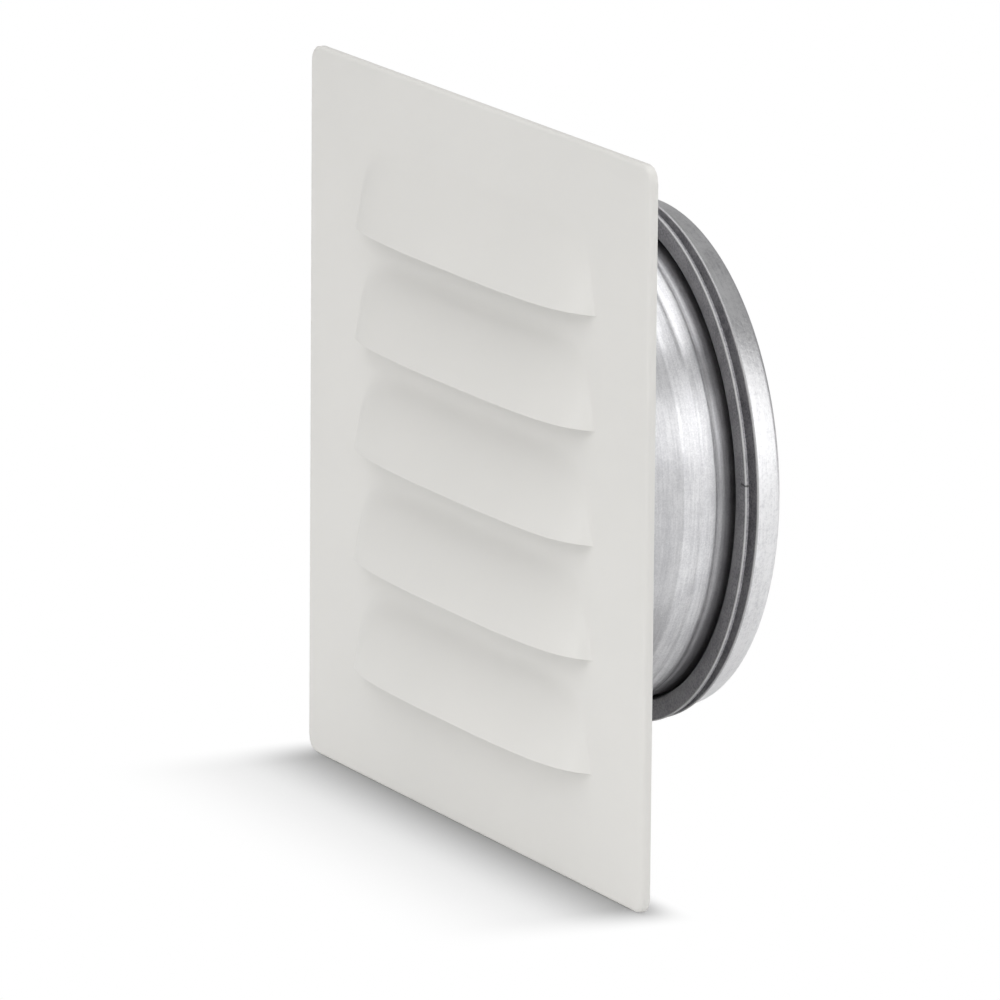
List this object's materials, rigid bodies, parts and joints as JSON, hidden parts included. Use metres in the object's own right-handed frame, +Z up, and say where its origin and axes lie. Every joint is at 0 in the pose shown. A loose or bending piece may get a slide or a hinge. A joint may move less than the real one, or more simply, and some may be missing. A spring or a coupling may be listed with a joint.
{
  "type": "louvred vent grille with round spigot",
  "caption": "Square pressed faceplate with louvre hoods open downwards, and a round duct spigot with a double-lip gasket behind it.",
  "frame": {"origin": "on the spigot's axis, in the wall plane where the faceplate's turned-back rim ends", "axes": "+Y out of the spigot's open end, into the wall; the faceplate faces -Y; +Z up, so the louvres open downwards"},
  "size_m": [0.175, 0.0572, 0.175],
  "materials": {
    "white_paint": "satin",
    "galvanised_steel": "galvanised with a fine spangle",
    "rubber": "matt"
  },
  "bodies": {
    "root": {"faceplate": "white_paint", "spigot_sleeve": "galvanised_steel", "gasket": "rubber"}
  },
  "joints": []
}
